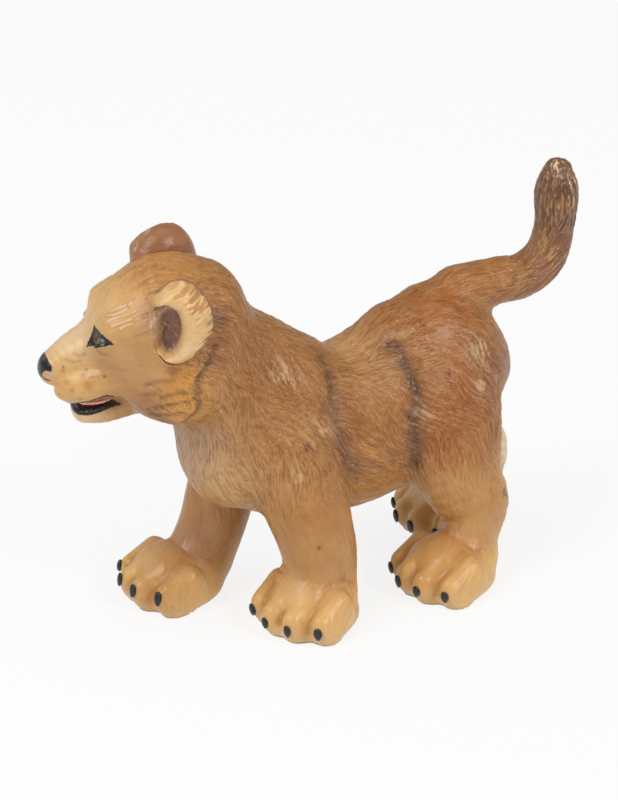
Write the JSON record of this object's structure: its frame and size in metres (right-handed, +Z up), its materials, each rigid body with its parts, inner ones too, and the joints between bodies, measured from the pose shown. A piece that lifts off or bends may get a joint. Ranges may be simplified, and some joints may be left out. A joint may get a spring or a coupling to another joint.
{
  "type": "toy animal figure",
  "caption": "Small painted vinyl figure of a walking lion cub, with its head turned, its mouth ajar and its tail raised, standing on flat soles.",
  "frame": {"origin": "middle of the figure's footprint box, on the ground under its soles", "axes": "+X from the nose towards the tail, +Y to the cub's right side, +Z up from the ground"},
  "size_m": [0.0772, 0.0314, 0.0522],
  "materials": {
    "tan_vinyl": "satin soft vinyl, airbrushed tan over cream, fine moulded fur",
    "cream_vinyl": "satin soft vinyl, cream rim with a brown back and a dark bowl",
    "brown_vinyl": "satin soft vinyl, dark brown, scuffed pale at the tip"
  },
  "bodies": {
    "root": {"torso": "tan_vinyl", "head": "tan_vinyl", "left_ear": "cream_vinyl", "right_ear": "cream_vinyl", "tail": "brown_vinyl", "left_foreleg": "tan_vinyl", "right_foreleg": "tan_vinyl", "left_hind_leg": "tan_vinyl", "right_hind_leg": "tan_vinyl"}
  },
  "joints": []
}
